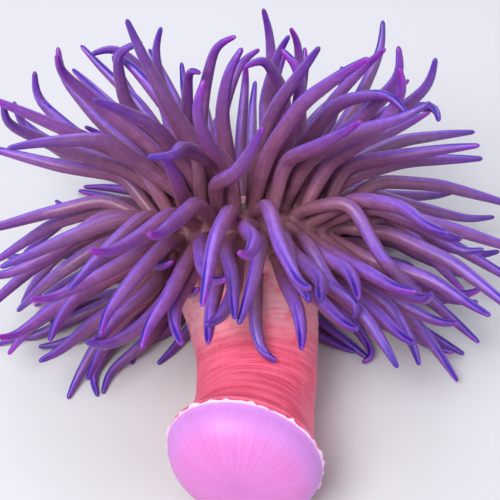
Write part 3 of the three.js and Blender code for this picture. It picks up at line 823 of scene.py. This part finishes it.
def fill_seam(mesh):
    """Gives the points that the union made along the seams the mean measures of the points round them."""
    one, other = edge_ends(mesh)
    known = np.hypot(*read_values(mesh, "round").T[:2]) > KNOWN_ROUND
    for name in (*MEASURES, "tentacle", "round"):
        values = read_values(mesh, name)
        filled = known.copy()
        for _ in range(SEAM_ROUNDS):
            total, count = np.zeros_like(values), np.zeros(len(values))
            for here, there in ((one, other), (other, one)):
                np.add.at(total, here, values[there] * filled[there, None])
                np.add.at(count, here, filled[there])
            fresh = ~filled & (count > 0)
            values[fresh] = total[fresh] / count[fresh, None]
            filled |= fresh
        set_values(mesh, name, values)


def neighbour_means(mesh, values, times, share):
    """Values at the points, each drawn a share of the way to its neighbours' mean, several times."""
    one, other = edge_ends(mesh)
    edges = np.concatenate([one, other])
    count = np.bincount(edges, minlength=len(values))[:, None]
    values = values.reshape(len(values), -1).astype(float)
    for _ in range(times):
        total = np.zeros_like(values)
        np.add.at(total, one, values[other])
        np.add.at(total, other, values[one])
        values = values + (total / count - values) * share
    return values


class ANEMONE_OT_skin(bpy.types.Operator):
    """Joins the tentacles and the body into one closed skin and eases the folds where they meet"""

    bl_idname = "anemone.skin"
    bl_label = "Skin"

    def execute(self, context):
        own = sizes()
        skin = bpy.data.objects[BODY_NAME]
        tentacles = bpy.data.objects[TENTACLES_NAME]
        modifier = skin.modifiers.new("Union", "BOOLEAN")
        modifier.operation = "UNION"
        modifier.solver = "MANIFOLD"
        modifier.object = tentacles
        apply_modifier(skin, modifier)
        remove(tentacles)
        skin.name = skin.data.name = SKIN_NAME
        mesh = skin.data
        fill_seam(mesh)
        blurred = neighbour_means(mesh, read_values(mesh, "tentacle"), *ROOT_BLUR)[:, 0]
        near = np.clip(4 * blurred * (1 - blurred), 0, 1)
        near *= read_values(mesh, "lengthwise")[:, 0] < EASED_LENGTH
        places = points_of(mesh)
        eased = neighbour_means(mesh, places, own.root_easing, 0.5)
        places = places + (eased - places) * near[:, None]
        places[:, 2] = np.maximum(places[:, 2], 0)
        move_points(mesh, places)
        set_values(mesh, "tentacle", blurred)
        select_only(skin)
        bpy.ops.object.shade_smooth()
        mesh.materials.clear()
        mesh.materials.append(skin_material())
        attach(skin, "root")
        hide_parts(*NODES)
        return {"FINISHED"}


# ------------------------ materials


class Nodes:
    """A node tree that is built up from short calls."""

    def __init__(self, tree):
        self.tree = tree

    def put(self, socket, value):
        """Links an input to a node's output, or sets it."""
        if isinstance(value, bpy.types.NodeSocket):
            self.tree.links.new(value, socket)
        elif value is not None:
            socket.default_value = value

    def add(self, kind, *values, **settings):
        """A new node with these values at its first inputs. None leaves an input as it is."""
        node = self.tree.nodes.new(kind)
        for name, value in settings.items():
            setattr(node, name, value)
        for socket, value in zip(node.inputs, values):
            self.put(socket, value)
        return node

    def attribute(self, name):
        return self.add("ShaderNodeAttribute", attribute_name=name).outputs

    def times(self, first, second):
        return self.add("ShaderNodeMath", first, second, operation="MULTIPLY").outputs[0]

    def plus(self, first, second):
        return self.add("ShaderNodeMath", first, second, operation="ADD").outputs[0]

    def within(self, value, low, high):
        """0 below low and 1 above high, or the other way round, with a smooth change between."""
        return self.add("ShaderNodeMapRange", value, low, high, interpolation_type="SMOOTHSTEP").outputs[0]

    def mix(self, share, first, second):
        """A colour between two, which are the node's inputs 6 and 7."""
        node = self.add("ShaderNodeMix", data_type="RGBA")
        self.put(node.inputs[0], share)
        self.put(node.inputs[6], first)
        self.put(node.inputs[7], second)
        return node.outputs[2]

    def blend(self, share, first, second):
        """A number between two."""
        return self.add("ShaderNodeMix", share, None, first, second, data_type="FLOAT").outputs[0]

    def ramp(self, value, *stops):
        node = self.add("ShaderNodeValToRGB", value)
        ramp = node.color_ramp
        ramp.interpolation = "EASE"
        while len(ramp.elements) < len(stops):
            ramp.elements.new(0.5)
        for element, (place, code) in zip(ramp.elements, stops):
            element.position = place
        for element, (place, code) in zip(ramp.elements, stops):
            element.color = colour(code)
        return node.outputs[0]

    def noise(self, place, scale, detail, roughness):
        return self.add("ShaderNodeTexNoise", place, None, scale, detail, roughness).outputs["Fac"]

    def scaled(self, place, *factors):
        return self.add("ShaderNodeVectorMath", place, factors, operation="MULTIPLY").outputs[0]


MEASURES = ("lengthwise", "bodywise", "outward", "tone", "ridge")  # attributes that the looks read
SHARED_INPUTS = [(name.capitalize(), "Float") for name in MEASURES]
SHARED_INPUTS += [("Round", "Vector"), ("Place", "Vector"), ("Facing", "Vector")]


# Colours along a tentacle, from its root to its tip, for the two kinds that the skin mixes.
PLAIN_LENGTH = [(0.0, "8f5c66"), (0.2, "8d576e"), (0.45, "88557c"), (0.68, "7e4e8a")]
PLAIN_LENGTH += [(0.86, "6b389a"), (0.95, "55239e"), (1.0, "3a1480")]
ROSY_LENGTH = [(0.0, "98616b"), (0.4, "94587f"), (0.8, "83469a"), (0.92, "7a2fa4")]
ROSY_LENGTH += [(0.97, "8c22b0"), (1.0, "961cae")]


def look_group(name):
    """An empty node group that turns the skin's measures into a colour, roughness and height."""
    tree = bpy.data.node_groups.new(name, "ShaderNodeTree")
    for label, kind in SHARED_INPUTS:
        tree.interface.new_socket(label, in_out="INPUT", socket_type=f"NodeSocket{kind}")
    for label, kind in (("Color", "Color"), ("Roughness", "Float"), ("Height", "Float")):
        tree.interface.new_socket(label, in_out="OUTPUT", socket_type=f"NodeSocket{kind}")
    nodes = Nodes(tree)
    given = nodes.add("NodeGroupInput").outputs
    out = nodes.add("NodeGroupOutput").inputs
    return nodes, given, out


def tentacle_look():
    """A tentacle's look: brownish at the root, violet at the tip, with painted light: a violet-blue lit upper
    side, a dark line along that side's edge, and a warm lower side.
    """
    nodes, given, out = look_group("Tentacle look")
    own = colours()
    ridge = given["Ridge"]
    facing = nodes.add("ShaderNodeSeparateXYZ", given["Facing"]).outputs[2]
    along = nodes.plus(given["Lengthwise"], nodes.times(nodes.plus(given["Tone"], -0.5), 0.06))
    plain = nodes.ramp(along, *PLAIN_LENGTH)
    rosy = nodes.ramp(along, *ROSY_LENGTH)
    body = nodes.mix(nodes.within(given["Tone"], 0.3, 0.9), plain, rosy)
    # Painted light: the upper side, turned to the light, is violet-blue.
    lit = nodes.times(nodes.within(ridge, 0.3, 1.0), nodes.within(along, 0.12, 0.62))
    body = nodes.mix(nodes.times(lit, 0.75), body, own["cool"])
    # Painted light: the lower, shaded side is warm, as if lit through the flesh.
    low = nodes.times(nodes.within(facing, 0.0, -0.8), nodes.within(along, 0.98, 0.7))
    body = nodes.mix(nodes.times(low, 0.5), body, own["warm"])
    streaks = nodes.noise(nodes.scaled(given["Round"], 2.6, 2.6, 14.0), 1.6, 3.0, 0.6)
    mottle = nodes.noise(given["Place"], 210.0, 3.0, 0.55)
    shade = nodes.plus(nodes.times(streaks, 0.6), nodes.times(mottle, 0.4))
    body = nodes.mix(nodes.times(nodes.within(shade, 0.6, 0.34), 0.4), body, own["deep"])
    body = nodes.mix(nodes.times(nodes.within(shade, 0.5, 0.72), 0.2), body, own["haze"])
    # Painted light: a dark indigo line along the edge of the lit upper side, near the tips.
    broad = nodes.plus(ridge, nodes.times(nodes.within(along, 0.75, 1.0), 0.14))
    rim = nodes.times(nodes.within(broad, 0.92, 1.0), nodes.within(along, 0.42, 0.82))
    body = nodes.mix(nodes.times(rim, 0.9), body, own["rim"])
    nodes.put(out["Color"], body)
    nodes.put(out["Roughness"], nodes.blend(mottle, 0.3, 0.5))
    fine = nodes.noise(given["Place"], 900.0, 2.0, 0.5)
    rings = nodes.noise(nodes.scaled(given["Round"], 0.7, 0.7, 420.0), 1.0, 2.0, 0.5)
    height = nodes.plus(nodes.times(rings, 0.4), nodes.times(fine, 0.25))
    nodes.put(out["Height"], nodes.plus(height, nodes.times(streaks, 0.4)))
    return nodes.tree


def body_look():
    """The look of the column, the sole with its torn edge, and the crown."""
    nodes, given, out = look_group("Body look")
    own = colours()
    along = given["Bodywise"]
    place = given["Round"]
    rings = nodes.noise(nodes.scaled(place, 1.1, 1.1, 260.0), 1.0, 3.0, 0.55)
    fine_rings = nodes.noise(nodes.scaled(place, 2.4, 2.4, 1100.0), 1.0, 3.0, 0.6)
    lines = nodes.noise(nodes.scaled(place, 17.0, 17.0, 30.0), 1.0, 3.0, 0.6)
    fine_lines = nodes.noise(nodes.scaled(place, 42.0, 42.0, 22.0), 1.0, 2.0, 0.6)
    mottle = nodes.noise(given["Place"], 130.0, 4.0, 0.6)
    # The column, from the foot up to the crown.
    ridge = nodes.plus(nodes.times(rings, 0.75), nodes.times(fine_rings, 0.25))
    # Painted shade: darker in the furrows between the ring ridges, where the bump is low.
    column = nodes.mix(nodes.within(ridge, 0.36, 0.66), own["furrow"], own["column"])
    column = nodes.mix(nodes.times(nodes.within(fine_lines, 0.5, 0.75), 0.14), column, own["pale"])
    top = nodes.times(nodes.within(along, 0.5, 0.8), nodes.within(mottle, 0.25, 0.55))
    column = nodes.mix(nodes.times(top, 0.85), column, own["pale"])
    # The sole, with fine lines that run out from its middle.
    sole = nodes.mix(nodes.within(lines, 0.25, 0.78), own["sole"], own["sole_pale"])
    sole = nodes.mix(nodes.times(nodes.within(fine_lines, 0.46, 0.7), 0.35), sole, own["sole_line"])
    sole = nodes.mix(nodes.times(nodes.within(given["Outward"], 0.030, 0.0402), 0.6), sole, own["sole_edge"])
    foot = nodes.mix(nodes.within(along, 0.158, 0.168), sole, column)
    frill = nodes.times(nodes.within(given["Outward"], 0.0402, 0.0411), nodes.within(along, 0.19, 0.175))
    foot = nodes.mix(nodes.times(frill, nodes.blend(lines, 0.5, 1.1)), foot, own["frill"])
    # The crown and the disc round the mouth.
    disc = nodes.mix(nodes.within(mottle, 0.38, 0.66), own["disc"], own["disc_pale"])
    lips = nodes.times(nodes.within(given["Outward"], 0.0085, 0.0065), nodes.within(along, 1.0, 1.01))
    disc = nodes.mix(lips, disc, own["lips"])
    whole = nodes.mix(nodes.within(along, 0.90, 0.99), foot, disc)
    nodes.put(out["Color"], whole)
    nodes.put(out["Roughness"], nodes.blend(mottle, 0.38, 0.58))
    body_height = nodes.plus(nodes.times(ridge, 1.3), nodes.times(fine_lines, 0.06))
    sole_height = nodes.plus(nodes.times(lines, 0.35), nodes.times(fine_lines, 0.35))
    nodes.put(out["Height"], nodes.blend(nodes.within(along, 0.15, 0.17), sole_height, body_height))
    return nodes.tree


def colours():
    """The colours that the user can change, by name."""
    own = bpy.context.scene.anemone_colours
    return {name: (*getattr(own, name), 1) for name in own.__annotations__}


FLESH = {  # what is the same all over the skin
    "Subsurface Weight": 0.22,
    "Subsurface Radius": (1.0, 0.42, 0.6),
    "Subsurface Scale": 0.004,
    "Coat Roughness": 0.18,
    "Specular IOR Level": 0.45,
}


def skin_material():
    """The skin's finish: the body's look and the tentacles', each where it belongs."""
    material = bpy.data.materials.new("anemone_skin")
    material.use_nodes = True
    material.node_tree.nodes.clear()
    nodes = Nodes(material.node_tree)
    where = nodes.add("ShaderNodeTexCoord").outputs
    shared = [nodes.attribute(name)["Fac"] for name in MEASURES]
    shared += [nodes.attribute("round")["Vector"], where["Object"], where["Normal"]]
    body = nodes.add("ShaderNodeGroup", node_tree=body_look())
    tentacle = nodes.add("ShaderNodeGroup", node_tree=tentacle_look())
    for look in (body, tentacle):
        for socket, value in zip(look.inputs, shared):
            nodes.put(socket, value)
    share = nodes.attribute("tentacle")["Fac"]
    skin = nodes.add("ShaderNodeBsdfPrincipled")
    on_body, on_tentacle = body.outputs, tentacle.outputs
    nodes.put(skin.inputs["Base Color"], nodes.mix(share, on_body["Color"], on_tentacle["Color"]))
    nodes.put(skin.inputs["Roughness"], nodes.blend(share, on_body["Roughness"], on_tentacle["Roughness"]))
    nodes.put(skin.inputs["Coat Weight"], nodes.blend(share, 0.08, 0.16))
    bump = nodes.add("ShaderNodeBump")
    bump.inputs["Distance"].default_value = 0.0006
    bump.inputs["Strength"].default_value = 0.8
    nodes.put(bump.inputs["Height"], nodes.blend(share, on_body["Height"], on_tentacle["Height"]))
    nodes.put(skin.inputs["Normal"], bump.outputs[0])
    for name, value in FLESH.items():
        skin.inputs[name].default_value = value
    done = nodes.add("ShaderNodeOutputMaterial")
    nodes.put(done.inputs[0], skin.outputs[0])
    return material


# ------------------------ stage

TARGET = (0.0030, 0.1184, 0.0600)  # what the camera looks at, from under the back of the foot
CAMERA_HEIGHT = 48  # degrees over the floor
CAMERA_DISTANCE = 0.76
CAMERA_LENS = 90
FLOOR_SIZE = 8
FLOOR_COLOUR = "cdcdd0"
SKY_COLOUR = "e9ebf2"
SKY_STRENGTH = 0.5
LAMPS = (  # name, place from the target, size, watts and colour
    ("key", (-0.55, -0.75, 1.35), 0.9, 28, "ffffff"),
    ("fill", (1.2, -0.8, 0.9), 1.4, 7, "f4f2ff"),
    ("back", (0.0, 1.3, 1.1), 1.2, 12, "eef0ff"),
)


class ANEMONE_OT_stage(bpy.types.Operator):
    """Sets up the floor, the lights and the camera"""

    bl_idname = "anemone.stage"
    bl_label = "Stage"

    def execute(self, context):
        bpy.ops.object.select_all(action="DESELECT")
        bpy.ops.mesh.primitive_plane_add(size=FLOOR_SIZE, location=(0, 0, 0))
        floor = context.object
        floor.name = "floor"
        paper = bpy.data.materials.new("floor")
        paper.use_nodes = True
        surface = paper.node_tree.nodes["Principled BSDF"]
        surface.inputs["Base Color"].default_value = colour(FLOOR_COLOUR)
        surface.inputs["Roughness"].default_value = 0.9
        floor.data.materials.append(paper)
        low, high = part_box("pedal_disc")
        target = Vector(((low.x + high.x) / 2, high.y, 0)) + Vector(TARGET)
        for name, place, size, power, code in LAMPS:
            lamp = bpy.data.lights.new(name, "AREA")
            lamp.energy = power
            lamp.size = size
            lamp.color = colour(code)[:3]
            light = bpy.data.objects.new(name, lamp)
            context.scene.collection.objects.link(light)
            light.location = target + Vector(place)
            light.rotation_euler = (target - light.location).to_track_quat("-Z", "Y").to_euler()
        world = bpy.data.worlds.new("studio")
        world.use_nodes = True
        sky = world.node_tree.nodes["Background"]
        sky.inputs["Color"].default_value = colour(SKY_COLOUR)
        sky.inputs["Strength"].default_value = SKY_STRENGTH
        context.scene.world = world
        context.scene.view_settings.view_transform = "Standard"
        camera = bpy.data.objects.new("camera", bpy.data.cameras.new("camera"))
        context.scene.collection.objects.link(camera)
        camera.data.lens = CAMERA_LENS
        camera.data.clip_start = 0.01
        height = math.radians(CAMERA_HEIGHT)
        camera.location = target + Vector((0, -math.cos(height), math.sin(height))) * CAMERA_DISTANCE
        camera.rotation_euler = (target - camera.location).to_track_quat("-Z", "Y").to_euler()
        context.scene.camera = camera
        return {"FINISHED"}


class ANEMONE_PT_panel(bpy.types.Panel):
    bl_idname = "ANEMONE_PT_panel"
    bl_label = "Sea anemone"
    bl_space_type = "VIEW_3D"
    bl_region_type = "UI"
    bl_category = "Anemone"

    def draw(self, context):
        layout = self.layout
        for group in (context.scene.anemone_sizes, context.scene.anemone_colours):
            for name in group.__annotations__:
                layout.prop(group, name)
        for operator in OPERATORS:
            layout.operator(operator.bl_idname)


OPERATORS = (ANEMONE_OT_body, ANEMONE_OT_tentacles, ANEMONE_OT_skin, ANEMONE_OT_stage)
CLASSES = (AnemoneSizes, AnemoneColours, *OPERATORS, ANEMONE_PT_panel)


def register():
    for cls in CLASSES:
        bpy.utils.register_class(cls)
    bpy.types.Scene.anemone_sizes = bpy.props.PointerProperty(type=AnemoneSizes)
    bpy.types.Scene.anemone_colours = bpy.props.PointerProperty(type=AnemoneColours)


def unregister():
    del bpy.types.Scene.anemone_colours
    del bpy.types.Scene.anemone_sizes
    for cls in reversed(CLASSES):
        bpy.utils.unregister_class(cls)


def main():
    register()
    bpy.ops.anemone.body()
    bpy.ops.anemone.tentacles()
    bpy.ops.anemone.skin()
    bpy.ops.anemone.stage()


if __name__ == "__main__":
    main()
